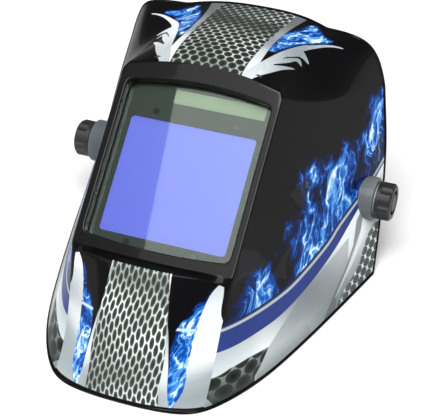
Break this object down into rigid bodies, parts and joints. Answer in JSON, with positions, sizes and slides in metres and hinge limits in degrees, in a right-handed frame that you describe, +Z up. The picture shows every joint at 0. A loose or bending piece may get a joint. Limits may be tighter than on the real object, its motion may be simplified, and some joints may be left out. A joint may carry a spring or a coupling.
{
  "type": "welding helmet",
  "caption": "Auto-darkening welding helmet: moulded shell, filter cartridge behind a leaning window, and ratchet headgear that tilts on friction pivots.",
  "frame": {"origin": "centre of the footprint, on the plane of the shell's bottom rim that it stands on", "axes": "+Z up, -Y is the way the lens faces, +X is the wearer's left"},
  "size_m": [0.2636, 0.3788, 0.1826],
  "materials": {
    "shell_plastic": "gloss black shell with printed graphics under clear coat",
    "cover_lens_clear": "clear polycarbonate",
    "filter_glass": "blue-violet mirror-coated filter glass",
    "solar_cell": "pale green solar cell behind glass",
    "sensor_plastic": "dark sensor dome",
    "filter_housing": "dark green-black moulded housing",
    "holder_plastic": "black moulded nylon",
    "gasket_rubber": "black closed-cell rubber",
    "screw_steel": "zinc-plated steel",
    "cell_steel": "nickel-plated coin cell can",
    "board_green": "green circuit board with solder mask",
    "knob_plastic": "matte black nylon, fine texture",
    "brass_insert": "turned brass",
    "arm_plastic": "black moulded nylon",
    "washer_plastic": "natural acetal",
    "band_plastic": "dark flexible polyethylene",
    "strap_plastic": "dark flexible polyethylene",
    "pin_plastic": "black snap pin",
    "pad_fabric": "soft brushed knit over foam",
    "sizer_plastic": "black moulded nylon",
    "control_plastic": "satin black control knob",
    "switch_plastic": "red switch cap"
  },
  "bodies": {
    "shell": {"helmet_shell": "shell_plastic", "lens_gasket": "gasket_rubber", "cover_lens": "cover_lens_clear", "lens_holder": "holder_plastic", "holder_screws": "screw_steel", "filter_front_housing": "filter_housing", "filter_glass": "filter_glass", "solar_panel": "solar_cell", "light_sensors": "sensor_plastic", "circuit_board": "board_green", "battery_cells": "cell_steel", "filter_rear_housing": "filter_housing", "housing_screws": "screw_steel", "inner_cover_lens": "cover_lens_clear"},
    "arms": {"pivot_bolts": "screw_steel", "tilt_stop_discs": "washer_plastic", "outer_washers": "washer_plastic", "pivot_arm_left": "arm_plastic", "pivot_arm_right": "arm_plastic"},
    "tension_left": {"tension_knob_left": "knob_plastic", "knob_insert_left": "brass_insert"},
    "tension_right": {"tension_knob_right": "knob_plastic", "knob_insert_right": "brass_insert"},
    "harness": {"headband": "band_plastic", "reach_bracket_left": "arm_plastic", "reach_bracket_right": "arm_plastic", "crown_strap_front_left": "strap_plastic", "crown_strap_front_right": "strap_plastic", "crown_strap_rear_left": "strap_plastic", "crown_strap_rear_right": "strap_plastic", "crown_pins": "pin_plastic", "band_rivets": "pin_plastic", "sweatband": "pad_fabric", "rear_strap_left": "strap_plastic", "rear_strap_right": "strap_plastic"},
    "sizer": {"sizer_housing": "sizer_plastic", "sizer_cover": "sizer_plastic", "click_spring": "pin_plastic", "rear_pad": "pad_fabric"},
    "sizer_turn": {"sizer_knob": "knob_plastic", "sizer_pinion": "pin_plastic", "sizer_screw": "screw_steel"},
    "latch_left": {"cartridge_latch_left": "arm_plastic"},
    "latch_right": {"cartridge_latch_right": "arm_plastic"},
    "cap_left": {"battery_cap_left": "control_plastic"},
    "cap_right": {"battery_cap_right": "control_plastic"},
    "shade": {"shade_knob": "control_plastic"},
    "sensitivity": {"sensitivity_knob": "control_plastic"},
    "delay": {"delay_knob": "control_plastic"},
    "test": {"test_button": "switch_plastic"},
    "grind": {"grind_switch": "switch_plastic"}
  },
  "joints": [
    {"name": "headgear_tilt", "type": "hinge", "parent": "shell", "child": "arms", "pos_m": [0, 0.03625, 0.055], "axis": [1, 0, 0], "range_deg": [-48, 30]},
    {"name": "tension_turn_left", "type": "hinge", "parent": "arms", "child": "tension_left", "pos_m": [0.119, 0.03625, 0.055], "axis": [1, 0, 0], "range_deg": [0, 360]},
    {"name": "tension_turn_right", "type": "hinge", "parent": "arms", "child": "tension_right", "pos_m": [-0.119, 0.03625, 0.055], "axis": [-1, 0, 0], "range_deg": [0, 360]},
    {"name": "reach_setting", "type": "slide", "parent": "arms", "child": "harness", "axis": [0, 1, 0], "range_m": [-0.01, 0.01]},
    {"name": "size_setting", "type": "slide", "parent": "harness", "child": "sizer", "axis": [0, 1, 0], "range_m": [-0.012, 0.012], "deforming": ["rear_strap_left", "rear_strap_right"]},
    {"name": "sizer_turn", "type": "hinge", "parent": "sizer", "child": "sizer_turn", "pos_m": [0, 0.16825, 0.035], "axis": [0, 1, 0], "range_deg": [-116, 116]},
    {"name": "latch_turn_left", "type": "hinge", "parent": "shell", "child": "latch_left", "pos_m": [0.024, -0.00628, 0.15991], "axis": [0, 0.6665, -0.7455], "range_deg": [0, 90]},
    {"name": "latch_turn_right", "type": "hinge", "parent": "shell", "child": "latch_right", "pos_m": [-0.024, -0.00628, 0.15991], "axis": [0, 0.6665, -0.7455], "range_deg": [-90, 0]},
    {"name": "cap_turn_left", "type": "hinge", "parent": "shell", "child": "cap_left", "pos_m": [0.0395, -0.02216, 0.14571], "axis": [0, 0.6665, -0.7455], "range_deg": [0, 90]},
    {"name": "cap_turn_right", "type": "hinge", "parent": "shell", "child": "cap_right", "pos_m": [-0.0395, -0.02216, 0.14571], "axis": [0, 0.6665, -0.7455], "range_deg": [0, 90]},
    {"name": "shade_turn", "type": "hinge", "parent": "shell", "child": "shade", "pos_m": [0, -0.02216, 0.14571], "axis": [0, 0.6665, -0.7455], "range_deg": [-135, 135]},
    {"name": "sensitivity_turn", "type": "hinge", "parent": "shell", "child": "sensitivity", "pos_m": [-0.0175, -0.02216, 0.14571], "axis": [0, 0.6665, -0.7455], "range_deg": [-135, 135]},
    {"name": "delay_turn", "type": "hinge", "parent": "shell", "child": "delay", "pos_m": [0.0175, -0.02216, 0.14571], "axis": [0, 0.6665, -0.7455], "range_deg": [-135, 135]},
    {"name": "test_press", "type": "slide", "parent": "shell", "child": "test", "axis": [0, -0.6665, 0.7455], "range_m": [0, 0.001], "stiffness_N_per_m": 900},
    {"name": "grind_slide", "type": "slide", "parent": "shell", "child": "grind", "axis": [1, 0, 0], "range_m": [0, 0.004]}
  ],
  "couplings": [
    {"joint": "sizer_turn", "follows": "size_setting", "rad_per_m": 166.67}
  ]
}
